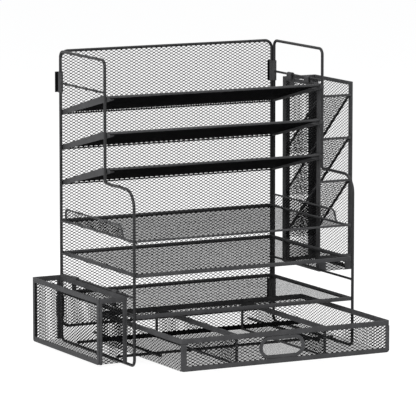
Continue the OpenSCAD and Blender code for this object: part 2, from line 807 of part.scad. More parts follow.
module basket_hooks() {
    for (y = [basket_front + basket_l * 0.2, basket_front + basket_l * 0.8])
        color(grey) hook_strap(-1, y, lower_rail_z);
}

// ---------------------------------------------------------------- holder

holder_size = [holder_l, holder_h];
holder_bands = [holder_post, holder_post, holder_band, holder_band];
between_w = holder_w - 2 * hem_t - 2 * weld_gap;

module holder_outer_band() {
    color(grey) along([holder_out - hem_t, holder_front, holder_z]) hem(holder_size, holder_bands);
}

module holder_outer_mesh() {
    color(black) along([holder_out - hem_t, holder_front, holder_z])
        panel_net(holder_size, holder_bands);
}

module holder_inner_band() {
    color(grey) along([wall_x, holder_front, holder_z]) hem(holder_size, holder_bands);
}

module holder_inner_mesh() {
    color(black) along([wall_x, holder_front, holder_z]) panel_net(holder_size, holder_bands);
}

// Rear wall of the holder: mesh with a hem all round
module holder_rear_mesh() {
    color(grey) across([wall_x + hem_t + weld_gap, holder_back, holder_z])
        hemmed_net([between_w, holder_h], holder_bands, cell_l * 0.6, cell_h * 1.2);
}

module holder_floor_mesh() {
    lo = [wall_x + hem_t + weld_gap, holder_front + hem_t + weld_gap];
    hi = [holder_out - hem_t - weld_gap, holder_back - hem_t - weld_gap];
    edge = [2, 2];
    color(black) translate([0, 0, holder_z]) net(lo, hi, lo + edge, hi - edge, cell_l * 0.6, cell_h);
}

// Low front wall of the bottom compartment
module holder_front_lip() {
    color(grey) across([wall_x + hem_t + weld_gap, holder_front + hem_t, holder_z])
        hemmed_net([between_w, lip_h], [holder_post, holder_post, 2, holder_band], cell_l * 0.5, cell_h * 0.5);
}

// Slanted chute n, from its front rim down to the rear wall
module holder_chute(n) {
    z = holder_top - chute_start - (n - 1) * chute_pitch;
    run = (holder_l - 1.5 * hem_t - weld_gap - net_t * sin(chute_slope)) / cos(chute_slope);
    size = [between_w, run];
    edge = [2, 4];
    x = wall_x + hem_t + weld_gap;
    color(grey) union() {
        block([x, holder_front, z - chute_rim], [x + between_w, holder_front + hem_t, z]);
        translate([x, holder_front + hem_t / 2, z - net_t / 2]) rotate([-chute_slope, 0, 0])
            translate([0, 0, -net_t / 2]) net([0, 0], size, edge, size - edge, cell_l * 0.6, cell_h);
    }
}

module holder_hooks() {
    for (y = [holder_front + holder_l * 0.27, holder_front + holder_l * 0.73])
        color(grey) hook_strap(1, y, upper_rail_z);
}

// ---------------------------------------------------------------- assembly

side_frame(-1);  // left_side_frame
side_frame(1);  // right_side_frame
side_rail(-1, upper_rail_z, upper_y, clip_t + weld_gap);  // left_upper_rail
side_rail(-1, lower_rail_z, front_y);  // left_lower_rail
side_rail(1, upper_rail_z, upper_y, clip_t + weld_gap);  // right_upper_rail
side_rail(1, lower_rail_z, front_y);  // right_lower_rail
floor_bar(-bar_y);  // front_floor_bar
floor_bar(bar_y);  // rear_floor_bar
drawer_runners();
back_panel_wire();
back_panel_mesh();
panel_clips();
upper_tray_rim(1);  // upper_tray_1_rim
upper_tray_mesh(1);  // upper_tray_1_mesh
upper_tray_rim(2);  // upper_tray_2_rim
upper_tray_mesh(2);  // upper_tray_2_mesh
upper_tray_rim(3);  // upper_tray_3_rim
upper_tray_mesh(3);  // upper_tray_3_mesh
color(grey) lower_tray_rim(level_4, slim_h) {  // lower_tray_1_rim
    guard_wire(-1);
    guard_wire(1);
}
lower_tray_mesh(level_4);  // lower_tray_1_mesh
guard_mesh(-1);  // lower_tray_1_left_guard
guard_mesh(1);  // lower_tray_1_right_guard
color(grey) lower_tray_rim(level_5, rim_h);  // lower_tray_2_rim
lower_tray_mesh(level_5);  // lower_tray_2_mesh
color(grey) lower_tray_rim(level_6, rim_h);  // lower_tray_3_rim
lower_tray_mesh(level_6);  // lower_tray_3_mesh
drawer_top_band();
drawer_front_band();
drawer_slot_ring();
drawer_front_mesh();
drawer_side_mesh(-1);  // drawer_left_mesh
drawer_side_mesh(1);  // drawer_right_mesh
drawer_rear_mesh();
drawer_floor_mesh();
drawer_divider(divider_left_x);  // drawer_left_divider
drawer_divider(divider_right_x);  // drawer_right_divider
basket_outer_band();
basket_inner_band();
basket_cross_bands();
basket_outer_mesh();
basket_inner_mesh();
basket_end_mesh(basket_front + hem_t);  // basket_front_mesh
basket_end_mesh(basket_back);  // basket_rear_mesh
basket_floor_mesh();
basket_hooks();
holder_outer_band();
holder_inner_band();
holder_outer_mesh();
holder_inner_mesh();
holder_rear_mesh();
holder_floor_mesh();
holder_front_lip();
holder_chute(1);  // holder_chute_1
holder_chute(2);  // holder_chute_2
holder_chute(3);  // holder_chute_3
holder_hooks();
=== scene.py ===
"""Looks of a black desk sorter of bent wire, folded strip and expanded steel mesh.

All lengths are in millimetres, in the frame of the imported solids: +X to the right, +Y to the back,
+Z up. A piece is scaled to metres when it is finished.
"""

import math

import bmesh
import bpy
from mathutils import Matrix, Vector


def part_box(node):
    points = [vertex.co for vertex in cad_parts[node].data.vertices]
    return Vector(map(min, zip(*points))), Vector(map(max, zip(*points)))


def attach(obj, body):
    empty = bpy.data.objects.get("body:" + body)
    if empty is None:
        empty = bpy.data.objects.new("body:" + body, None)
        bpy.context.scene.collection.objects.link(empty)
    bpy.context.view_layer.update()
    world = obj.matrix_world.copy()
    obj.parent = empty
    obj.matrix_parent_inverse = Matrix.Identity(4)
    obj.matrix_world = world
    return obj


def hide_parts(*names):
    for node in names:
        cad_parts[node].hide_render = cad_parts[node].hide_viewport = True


MM = 0.001
MERGE = 0.001

# Round wires: thickness, and sides of the drawn circle
FRAME_WIRE, FRAME_SIDES = 4.0, 16
RAIL_WIRE, WIRE_SIDES = 3.2, 14
LUG_WIRE, LUG_SIDES = 2.6, 10
WIRE_END_DOME = 0.4
BEND_STEP = 9
SEAM = 0.02
WELD_GAP = 0.1

# Side frames
FRAME_X = 165.0
REAR_Y = 109.485
FRONT_Y = -113.5
UPPER_Y = -27.5
FOOT_Z = 2.0
TOP_Z = 398.7
SHOULDER_Z = 235.0
CORNER_R = 8.0
SHOULDER_R = 24.0

# Back panel and the clips that hold it
PANEL_X = 163.2
PANEL_Y = 113.5
PANEL_R = 11.0
CLIP_H = 28.0
SLEEVE_R = 3.3
SLEEVE_T = 1.1
SLEEVE_SIDES = 20
CLIP_PLATE_W = 12.0
CLIP_PLATE_T = 1.2
CLIP_PLATE_FOLD = 0.3

# Rails
UPPER_RAIL_Z = 355.5
LOWER_RAIL_Z = 93.0
RAIL_WELD = (3.8, 1.6, 4.4)

# Folded strip
HEM = 2.0
STRIP_FOLD = 0.5
FOLD_ANGLE = 0.6

# Upper trays
ROLL_Z = 349.4
TRAY_PITCH = 48.2
TRAY_FALL = 36.0
ROLL = 3.4
ROLL_SETBACK = 1.2
ROLL_LAP = 0.6
TRAY_X = 162.7
TRAY_BACK = 110.5
FLANGE = 1.2
FLANGE_DROP = 1.35
FLANGE_REAR_H = 6.8
FLANGE_FOLD = 0.35
# Outline of a flange: steps back from the upright and down from the top of the roll
FLANGE_EAR = ((-11.0, 3.5), (-8.5, 5.5), (8.0, 9.6))
FLANGE_TOP = ((13.0, 0.6), (0.0, 0.0))
# Outline of a corner fold: steps in from the side and down from the top of the roll
CORNER_FOLD = ((0.3, 4.6), (0.3, 9.2), (3.0, 8.6), (13.0, 5.9), (12.5, 5.0))
CORNER_FOLD_Y = 3.4
CORNER_FOLD_T = 0.9
CORNER_FOLD_EDGE = 0.25
# Rear hem: heights over the low edge of the flanges
HEM_BAR = (0.7, 2.4)
HEM_TOOTH = (2.2, 5.0)
HEM_TOOTH_W = 1.6
HEM_TOOTH_Y = (1.5, 0.5)
HEM_TOOTH_FOLD = 0.3
HEM_LAP = 0.5
HEM_NUB = (2.6, 1.4, 1.4)
# Mesh floor: shorter than its slope, and under the front edge
FLOOR_SHORTER = 0.2
FLOOR_UNDER = 0.5

# Lower trays
LEVELS = {1: 166.5, 2: 122.0235, 3: 67.0}
RIM_T = 2.4
RIM_H = 5.4
RIM_FOLD = 0.8
RIM_SIDE_INSET = 0.5
SLIM_SIDE_H = 3.2
SLIM_FRONT_H = 2.8
LUG = 24.0
LUG_STRAIGHT = 4.0
LUG_SWING = 10.0
LUG_GAP = 0.3
LUG_BEND = 5.0
GUARD_H = 16.5
GUARD_REAR = 102.5
GUARD_FRONT = -75.5
GUARD_RAKE = 9.0
GUARD_BENDS = (5.0, 6.0)

# Drawer: bands are left, right, bottom and top
DRAWER_CORNER = 2.2
TOP_STRIP_FOLD = 0.6
FRONT_BANDS = (8.5, 5.5, 6.5, 0)
FRONT_CORNER = 4.0
SLOT_RISE = 1.8
SLOT_BAND = 4.8
SLOT_FOLD = 0.7
SLOT_LAP = 3.0
SLOT_SIDES = 48
REAR_FOOT = 6.5
FOOT_INSET = 0.2
FOOT_T = 0.8
DIVIDER_BANDS = (5, 5, 3, 7)

# Hung basket
BASKET_OUTER_BANDS = (5, 5, 7, 7)
BASKET_INNER_BANDS = (5, 5, 0, 7)
BASKET_END_BANDS = (4, 4, 0, 7)
BASKET_CORNER = 3.5

# Hung holder
POST = 9.0
HOLDER_BAND = 5.2
HOLDER_BANDS = (POST, POST, HOLDER_BAND, HOLDER_BAND)
LIP_BANDS = (POST, POST, 0, HOLDER_BAND)
CHUTE_RIM = 3.4
CHUTE_RIM_FOLD = 0.6
CHUTE_SLOPE = 42.0
CHUTE_SIDE = 4.5
CHUTE_SIDE_T = 0.8
CHUTE_SIDE_FOLD = 0.25
CHUTE_LIFT = 0.4

# Strap hooks
HOOK_T = 1.2
HOOK_W = 12
HOOK_PLAY = 0.3
HOOK_LEG = 18
HOOK_TIP = 6.1
HOOK_STEPS = 10

# Expanded mesh, as the real sheet is cut
MESH_LONG = 7.66
MESH_SHORT = 4.1
MESH_STRAND = 0.38
MESH_BOND = 1.9
MESH_BOND_H = 1.4
MESH_THICK = 0.35
MESH_TILT = 0.12
MESH_SHIFT_X = 0.13
MESH_SHIFT_Y = 0.17
FLOOR_THICK = 0.8
MESH_CREASE = 60
THIN_PLATE = 1.5

# Powder coat
TONE_LOW, TONE_HIGH = 0.82, 1.18
GLOSS_LOW, GLOSS_HIGH = -0.06, 0.08
CLOUD_SCALE = 60.0
PEEL_STRENGTH = 0.25
PEEL_DEPTH = 0.00008

# Studio: each lamp's name, place, width and power, then the camera at the photograph's place
LAMPS = (
    ("key", (-2.2, -1.6, 1.3), 1.6, 54),
    ("fill", (1.9, -1.6, 1.2), 1.6, 16),
    ("top", (0.0, 0.1, 2.2), 1.8, 22),
)
LAMP_AIM = (0, 0, 0.2)
FLOOR_REACH = 6
FLOOR_TONE = (0.86, 0.86, 0.86, 1)
FILL_TINT = (0.9, 0.92, 0.95, 1)
FILL_LIGHT = 0.3
WHITE = (1, 1, 1, 1)
FLOOR_GLOW = 1.3
FLOOR_GLOW_SHARE = 0.7
CAMERA_AT = (-2.2903, -4.3895, 0.9015)
CAMERA_TILT = 81.79
CAMERA_TURN = -27.59
CAMERA_LENS = 318.9
CAMERA_SENSOR = 36

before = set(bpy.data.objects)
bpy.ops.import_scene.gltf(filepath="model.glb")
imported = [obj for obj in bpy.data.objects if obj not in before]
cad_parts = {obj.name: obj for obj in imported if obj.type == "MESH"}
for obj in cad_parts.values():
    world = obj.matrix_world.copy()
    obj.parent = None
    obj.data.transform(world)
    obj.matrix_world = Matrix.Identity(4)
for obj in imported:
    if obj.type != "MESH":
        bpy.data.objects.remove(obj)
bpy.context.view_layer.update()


def box(node):
    """Lowest and highest corners of a CAD node, in millimetres."""
    lo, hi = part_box(node)
    return Vector(lo) / MM, Vector(hi) / MM


# ---------------------------------------------------------------- finishes


def powder_coat(name, colour, roughness, grain, shine):
    """Satin powder coat: fine orange-peel bump, slightly uneven gloss and tone."""
    mat = bpy.data.materials.new(name)
    mat.use_nodes = True
    nodes, links = mat.node_tree.nodes, mat.node_tree.links
    shader = nodes["Principled BSDF"]
    shader.inputs["Specular IOR Level"].default_value = shine
    place = nodes.new("ShaderNodeTexCoord")
    peel = nodes.new("ShaderNodeTexNoise")
    peel.inputs["Scale"].default_value = grain
    peel.inputs["Detail"].default_value = 3.0
    cloud = nodes.new("ShaderNodeTexNoise")
    cloud.inputs["Scale"].default_value = CLOUD_SCALE
    cloud.inputs["Detail"].default_value = 4.0
    tone = nodes.new("ShaderNodeValToRGB")
    tone.color_ramp.elements[0].position = 0.3
    tone.color_ramp.elements[0].color = (*[c * TONE_LOW for c in colour], 1)
    tone.color_ramp.elements[1].position = 0.7
    tone.color_ramp.elements[1].color = (*[c * TONE_HIGH for c in colour], 1)
    gloss = nodes.new("ShaderNodeMapRange")
    gloss.inputs["To Min"].default_value = roughness + GLOSS_LOW
    gloss.inputs["To Max"].default_value = roughness + GLOSS_HIGH
    bump = nodes.new("ShaderNodeBump")
    bump.inputs["Strength"].default_value = PEEL_STRENGTH
    bump.inputs["Distance"].default_value = PEEL_DEPTH
    links.new(place.outputs["Object"], peel.inputs["Vector"])
    links.new(place.outputs["Object"], cloud.inputs["Vector"])
    links.new(cloud.outputs["Fac"], tone.inputs["Fac"])
    links.new(tone.outputs["Color"], shader.inputs["Base Color"])
    links.new(cloud.outputs["Fac"], gloss.inputs["Value"])
    links.new(gloss.outputs["Result"], shader.inputs["Roughness"])
    links.new(peel.outputs["Fac"], bump.inputs["Height"])
    links.new(bump.outputs["Normal"], shader.inputs["Normal"])
    return mat


WIRE_COAT = powder_coat("wire_coat", (0.020, 0.020, 0.021), 0.40, 2200, 0.20)
# The strip's coat is the wires' black made three times lighter: painted light, so the bands look lit
# by the key lamp.
LIT_BAND_COAT = powder_coat("band_coat_painted_light", (0.060, 0.060, 0.062), 0.50, 1800, 0.10)
# The nets' coat is the wires' black made four times darker: painted shade, so the nets look as dark
# as in shadow.
SHADED_MESH_COAT = powder_coat("mesh_coat_painted_shade", (0.005, 0.005, 0.0055), 0.55, 2200, 0.02)
COATS = {"wire": WIRE_COAT, "hem": LIT_BAND_COAT, "mesh": SHADED_MESH_COAT}


def piece(name, bm, kind, body, *nodes, crease=35):
    """Turns a mesh in millimetres into a piece of the object that stands for CAD nodes."""
    bm.transform(Matrix.Scale(MM, 4))
    mesh = bpy.data.meshes.new(name)
    bm.to_mesh(mesh)
    bm.free()
    mesh.materials.append(COATS[kind])
    # Faces marked for painted shade take the near-black copy of the coat as a second slot.
    mixed = kind != "mesh" and any(face.material_index for face in mesh.polygons)
    if mixed:
        mesh.materials.append(SHADED_MESH_COAT)
    for face in mesh.polygons:
        face.use_smooth = True
        if not mixed:
            face.material_index = 0
    mesh.set_sharp_from_angle(angle=math.radians(crease))
    obj = bpy.data.objects.new(name, mesh)
    bpy.context.scene.collection.objects.link(obj)
    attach(obj, body)
    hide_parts(*nodes)


# ---------------------------------------------------------------- sheet work


def corners_of(made):
    """Corners among an operator's results."""
    return [g for g in made if isinstance(g, bmesh.types.BMVert)]


def edges_of(made):
    """Edges among an operator's results."""
    return [g for g in made if isinstance(g, bmesh.types.BMEdge)]


def edges_at(corners):
    """All edges that meet these corners."""
    return list(dict.fromkeys(e for v in corners for e in v.link_edges))


def corners_at(edges):
    """All corners of these edges."""
    return list(dict.fromkeys(v for e in edges for v in e.verts))


def outward(bm):
    bmesh.ops.recalc_face_normals(bm, faces=bm.faces)
    return bm


def pull(bm, faces, vec):
    """Extrudes faces by vec."""
    made = bmesh.ops.extrude_face_region(bm, geom=faces)["geom"]
    bmesh.ops.translate(bm, verts=corners_of(made), vec=vec)


def soften(bm, geom, radius, segments=2, affect="EDGES"):
    """Rounds folds, or with affect VERTICES the corners of a flat sheet."""
    bmesh.ops.bevel(
        bm, geom=geom, offset=radius, segments=segments, profile=0.5, affect=affect, material=-1
    )


def soften_folds(bm, radius, segments=2):
    """Rounds the edges at which a sheet turns sharply."""
    folds = [e for e in bm.edges if e.is_manifold and e.calc_face_angle() > FOLD_ANGLE]
    soften(bm, folds, radius, segments)


def join(bm, other):
    """Moves another mesh into bm."""
    mesh = bpy.data.meshes.new("joined")
    other.to_mesh(mesh)
    other.free()
    bm.from_mesh(mesh)
    bpy.data.meshes.remove(mesh)


def paint_shade(bm):
    """Marks faces for the near-black copy of the coat, painted shade, which the strip beside them
    doesn't have.
    """
    for face in bm.faces:
        face.material_index = 1


def add_plate(bm, outline, vec, fold):
    """Flat outline thickened by vec, its edges rounded."""
    own = bmesh.new()
    face = own.faces.new([own.verts.new(corner) for corner in outline])
    pull(own, [face], vec)
    soften(outward(own), own.edges[:], fold)
    join(bm, own)


def hoop(own, width, thick, fold, segments):
    """Cuts a flat sheet down to a band along its edge and thickens it."""
    inner = own.faces[:]
    bmesh.ops.inset_region(
        own, faces=inner, thickness=width, use_even_offset=True, use_boundary=True
    )
    bmesh.ops.delete(own, geom=inner, context="FACES")
    pull(own, own.faces[:], (0, 0, thick))
    soften_folds(outward(own), fold, segments)


def add_strip(bm, lo, hi, fold=STRIP_FOLD, segments=2):
    """Folded steel strip between two corners, its folds rounded."""
    lo, hi = Vector(lo), Vector(hi)
    size = hi - lo
    made = bmesh.ops.create_cube(
        bm, size=1, matrix=Matrix.Translation((lo + hi) / 2) @ Matrix.Diagonal((*size, 1))
    )["verts"]
    soften(bm, edges_at(made), min(fold, min(size) * 0.45), segments)


def add_frame(bm, size, bands, thick, place, corner=0.0):
    """Picture frame of folded strip; bands are left, right, bottom and top."""
    left, right, bottom, top = bands
    own = bmesh.new()
    bmesh.ops.create_grid(own, x_segments=3, y_segments=3, size=1.5)
    columns = [0, left, size[0] - right, size[0]]
    rows = [0, bottom, size[1] - top, size[1]]
    for v in own.verts:
        v.co.x = columns[round(v.co.x + 1.5)]
        v.co.y = rows[round(v.co.y + 1.5)]
    middle = [
        f for f in own.faces
        if left <= f.calc_center_median().x <= size[0] - right
        and bottom <= f.calc_center_median().y <= size[1] - top
    ]
    empty = [f for f in own.faces if f.calc_area() < 1e-6]
    bmesh.ops.delete(own, geom=list(dict.fromkeys(middle + empty)), context="FACES")
    bmesh.ops.remove_doubles(own, verts=own.verts, dist=MERGE)
    if corner:
        tips = [
            v for v in own.verts
            if v.co.x in (0, size[0]) and v.co.y == 0 and len(v.link_edges) == 2
        ]
        soften(own, tips, corner, 5, "VERTICES")
    pull(own, own.faces[:], (0, 0, thick))
    soften_folds(outward(own), STRIP_FOLD)
    own.transform(place)
    join(bm, own)


# ---------------------------------------------------------------- wire


def round_end(bm, ring):
    """Closes a wire's end with a slightly domed cap."""
    bmesh.ops.contextual_create(bm, geom=ring)
    soften(bm, ring, WIRE_END_DOME)


def wire_bend(before, corner, after, radius):
    """Start, centre, axis, angle and end of the bend at a wire's corner."""
    u = (corner - before).normalized()
    v = (after - corner).normalized()
    turn = u.angle(v)
    cut = radius * math.tan(turn / 2)
    inward = (v - u * u.dot(v)).normalized()
    start = corner - u * cut
    return start, start + inward * radius, u.cross(v).normalized(), turn, corner + v * cut


def add_wire(bm, corners, radii, thickness, closed=False, sides=WIRE_SIDES):
    """Round wire through 3-D corners, each bent to its radius."""
    corners = [Vector(c) for c in corners]
    count = len(corners)
    bends = [
        wire_bend(corners[i - 1], corner, corners[(i + 1) % count], radii[i])
        if closed or 0 < i < count - 1 else None
        for i, corner in enumerate(corners)
    ]
    order = list(range(1, count)) + ([0] if closed else [])
    start = bends[0][-1] if closed else corners[0]
    turned = (corners[1] - start).normalized().to_track_quat("Z", "Y").to_matrix().to_4x4()
    ring = bmesh.ops.create_circle(
        bm, segments=sides, radius=thickness / 2, matrix=Matrix.Translation(start) @ turned
    )["verts"]
    edges = edges_at(ring)
    first_edges = list(edges)
    at = start
    for i in order:
        goal = bends[i][0] if bends[i] else corners[i]
        if (goal - at).length > MERGE:
            made = bmesh.ops.extrude_edge_only(bm, edges=edges)["geom"]
            moved = corners_of(made)
            bmesh.ops.translate(bm, verts=moved, vec=goal - at)
            edges = [e for e in edges_of(made) if all(v in moved for v in e.verts)]
        at = goal
        if bends[i]:
            _, centre, axis, turn, at = bends[i]
            made = bmesh.ops.spin(
                bm, geom=edges + corners_at(edges), cent=centre, axis=axis,
                angle=turn, steps=max(3, round(math.degrees(turn) / BEND_STEP)),
            )["geom_last"]
            edges = edges_of(made)
    if closed:
        bmesh.ops.remove_doubles(bm, verts=corners_at(first_edges + edges), dist=SEAM)
    else:
        round_end(bm, first_edges)
        round_end(bm, edges)


def straight_wire(bm, a, b, thickness):
    add_wire(bm, [a, b], [0, 0], thickness)


def add_nugget(bm, at, size, smooth=2):
    """Small flattened bead of weld."""
    bmesh.ops.create_icosphere(
        bm, subdivisions=smooth, radius=1.0,
        matrix=Matrix.Translation(at) @ Matrix.Diagonal((*[s / 2 for s in size], 1)),
    )


# ---------------------------------------------------------------- expanded mesh

# From a panel's drawing plane to its place, across the object or along it
ACROSS = Matrix(((1, 0, 0, 0), (0, 0, -1, 0), (0, 1, 0, 0), (0, 0, 0, 1)))
ALONG = Matrix(((0, 0, 1, 0), (1, 0, 0, 0), (0, 1, 0, 0), (0, 0, 0, 1)))


def expanded_mesh(width, height, corner=0.0, hole=None, thick=MESH_THICK, tilt=MESH_TILT):
    """Sheet of expanded mesh from the origin, in the XY plane with its middle at z 0."""
    long, short = MESH_LONG, MESH_SHORT
    bm = bmesh.new()
    columns = 2 * math.ceil(width / long) + 2
    rows = 2 * math.ceil(height / short) + 2
    bmesh.ops.create_grid(bm, x_segments=columns, y_segments=rows, size=1)
    lean = long / 4 - MESH_BOND / 2
    level = {}
    for v in bm.verts:
        i = round((v.co.x + 1) / 2 * columns)
        j = round((v.co.y + 1) / 2 * rows)
        level[v] = (i, j)
        aside = -lean if (i + j) % 2 == 0 else lean
        v.co.x = (i - columns / 2) * long / 2 + aside + width / 2 + MESH_SHIFT_X
        v.co.y = (j - rows / 2) * short / 2 + height / 2 + MESH_SHIFT_Y
    middles = []
    for e in bm.edges:
        (i, j), (k, m) = (level[v] for v in e.verts)
        if j == m and 0 < j < rows and (min(i, k) + j) % 2 == 0:
            middles.append(e)
    bmesh.ops.dissolve_edges(bm, edges=middles, use_verts=False, use_face_split=False)
    halves = [f for f in bm.faces if len(f.verts) < 6]
    bmesh.ops.delete(bm, geom=halves, context="FACES")
    ridge = bm.verts[:]
    windows = bm.faces[:]
    bmesh.ops.inset_individual(bm, faces=windows, thickness=MESH_STRAND / 2, use_even_offset=True)
    flat = short / 2 - MESH_BOND_H / 2
    for f in windows:
        middle = f.calc_center_median().y
        for v in f.verts:
            if abs(v.co.y - middle) > short / 4:
                v.co.y = middle + math.copysign(flat, v.co.y - middle)
    bmesh.ops.delete(bm, geom=windows, context="FACES_ONLY")
    bmesh.ops.translate(bm, verts=ridge, vec=(0, 0, thick / 2))
    bmesh.ops.mirror(bm, geom=bm.verts[:] + bm.edges[:] + bm.faces[:], axis="Z", merge_dist=MERGE)
    for v in bm.verts:
        if abs(v.co.z) < 1e-4:
            step = (v.co.y - height / 2 - MESH_SHIFT_Y) / (short / 2)
            v.co.z = tilt * max(-1, min(1, (round(step) - step) * short / MESH_BOND_H))
    # The whole net takes the near-black copy of the coat: painted shade.
    paint_shade(bm)
    trim(bm, width, height, corner)
    if hole:
        cut_oval(bm, *hole)
    return outward(bm)


def trim(bm, width, height, corner):
    """Shears a net to its size, with its corners cut round, and closes the cut strands."""
    cuts = [
        ((0, 0, 0), (-1, 0, 0)), ((width, 0, 0), (1, 0, 0)),
        ((0, 0, 0), (0, -1, 0)), ((0, height, 0), (0, 1, 0)),
    ]
    if corner:
        for x, sx in ((corner, -1), (width - corner, 1)):
            for y, sy in ((corner, -1), (height - corner, 1)):
                for angle in (22.5, 45, 67.5):
                    a = math.radians(angle)
                    way = Vector((sx * math.cos(a), sy * math.sin(a), 0))
                    cuts.append((Vector((x, y, 0)) + way * corner, way))
    for at, way in cuts:
        bmesh.ops.bisect_plane(
            bm, geom=bm.verts[:] + bm.edges[:] + bm.faces[:], dist=1e-5, plane_co=at,
            plane_no=way, clear_outer=True,
        )
        close_strands(bm)


def close_strands(bm):
    """Fills the open ends of strands that were cut."""
    bmesh.ops.holes_fill(bm, edges=[e for e in bm.edges if e.is_boundary], sides=0)


def cut_oval(bm, centre, length, height):
    """Removes the strands inside a slot with round ends."""
    r = height / 2
    ends = [centre[0] - length / 2 + r, centre[0] + length / 2 - r]

    def inside(p):
        x = min(max(p.x, ends[0]), ends[1])
        return math.hypot(p.x - x, p.y - centre[1]) < r

    gone = [f for f in bm.faces if inside(f.calc_center_median())]
    bmesh.ops.delete(bm, geom=gone, context="FACES")
    close_strands(bm)


def net(name, body, node, corner=0.0, hole=None, foot=0.0):
    """Fine mesh in the place of a CAD plate that lies in one of the three main planes."""
    lo, hi = box(node)
    size = hi - lo
    mid = (lo + hi) / 2
    if size.y < THIN_PLATE:
        place = Matrix.Translation((lo.x, mid.y, lo.z)) @ ACROSS
        width, height = size.x, size.z
    elif size.x < THIN_PLATE:
        place = Matrix.Translation((mid.x, lo.y, lo.z)) @ ALONG
        width, height = size.y, size.z
    else:
        place = Matrix.Translation((lo.x, lo.y, mid.z))
        width, height = size.x, size.y
    bm = expanded_mesh(width, height, corner, hole)
    if foot:
        add_strip(
            bm, (FOOT_INSET, 0, -FOOT_T / 2), (width - FOOT_INSET, foot, FOOT_T / 2), FOOT_INSET, 1
        )
    bm.transform(place)
    piece(name, outward(bm), "mesh", body, node, crease=MESH_CREASE)


# ---------------------------------------------------------------- frame


def side_frame(name, side):
    x = side * FRAME_X
    bm = bmesh.new()
    add_wire(
        bm,
        [
            (x, REAR_Y, FOOT_Z), (x, REAR_Y, TOP_Z), (x, UPPER_Y, TOP_Z),
            (x, UPPER_Y, SHOULDER_Z), (x, FRONT_Y, SHOULDER_Z), (x, FRONT_Y, FOOT_Z),
        ],
        [CORNER_R, CORNER_R, CORNER_R, CORNER_R / 2, SHOULDER_R, CORNER_R],
        FRAME_WIRE, closed=True, sides=FRAME_SIDES,
    )
    piece(name + "_side_wire", outward(bm), "wire", "frame", name + "_side_frame")


def side_rail(name, side, level, z, upright_y):
    x = side * FRAME_X
    reach = FRAME_WIRE / 2 + WELD_GAP
    ends = (upright_y + reach, REAR_Y - reach)
    bm = bmesh.new()
    straight_wire(bm, (x, ends[0], z), (x, ends[1], z), RAIL_WIRE)
    for y in ends:
        add_nugget(bm, (x, y, z), RAIL_WELD)
    piece(f"{name}_{level}_rail_wire", outward(bm), "wire", "frame", f"{name}_{level}_rail")


def floor_bars():
    for name in ("front_floor_bar", "rear_floor_bar"):
        lo, hi = box(name)
        y, z = (lo.y + hi.y) / 2, (lo.z + hi.z) / 2
        bm = bmesh.new()
        straight_wire(bm, (lo.x, y, z), (hi.x, y, z), FRAME_WIRE)
        piece(name + "_wire", outward(bm), "wire", "frame", name)
    lo, hi = box("drawer_runners")
    z = (lo.z + hi.z) / 2
    bm = bmesh.new()
    for x in (lo.x + FRAME_WIRE / 2, hi.x - FRAME_WIRE / 2):
        straight_wire(bm, (x, lo.y, z), (x, hi.y, z), FRAME_WIRE)
    piece("drawer_runner_wires", outward(bm), "wire", "frame", "drawer_runners")


def back_panel():
    bm = bmesh.new()
    y = PANEL_Y
    low = box("back_panel_wire")[0].z + FRAME_WIRE / 2
    add_wire(
        bm,
        [(-PANEL_X, y, low), (PANEL_X, y, low), (PANEL_X, y, TOP_Z), (-PANEL_X, y, TOP_Z)],
        [PANEL_R] * 4, FRAME_WIRE, closed=True, sides=FRAME_SIDES,
    )
    piece("back_panel_rim", outward(bm), "wire", "frame", "back_panel_wire")
    corner = PANEL_R - (FRAME_WIRE / 2 + WELD_GAP)
    net("back_panel_net", "frame", "back_panel_mesh", corner=corner)


def panel_clips():
    """Sleeves pinched round two wires, with a flat plate behind."""
    lo, hi = box("panel_clips")
    plate_y = PANEL_Y + FRAME_WIRE / 2 + WELD_GAP
    bm = bmesh.new()
    for low in (lo.z, hi.z - CLIP_H):
        for side in (-1, 1):
            for x, y in ((PANEL_X, PANEL_Y), (FRAME_X, REAR_Y)):
                own = bmesh.new()
                ring = bmesh.ops.create_circle(own, segments=SLEEVE_SIDES, radius=SLEEVE_R)["verts"]
                for v in ring:
                    v.co += Vector((side * x, y, low))
                made = bmesh.ops.extrude_edge_only(own, edges=edges_at(ring))["geom"]
                bmesh.ops.translate(own, verts=corners_of(made), vec=(0, 0, CLIP_H))
                bmesh.ops.solidify(outward(own), geom=own.faces[:], thickness=SLEEVE_T)
                join(bm, own)
            x = side * (PANEL_X + FRAME_X) / 2
            own = bmesh.new()
            add_strip(
                own, (x - CLIP_PLATE_W / 2, plate_y, low),
                (x + CLIP_PLATE_W / 2, plate_y + CLIP_PLATE_T, low + CLIP_H), CLIP_PLATE_FOLD,
            )
            # The plate behind the wires takes the near-black copy of the coat: painted shade.
            paint_shade(own)
            join(bm, own)
    piece("panel_clip_sleeves", outward(bm), "hem", "frame", "panel_clips")


# ---------------------------------------------------------------- trays


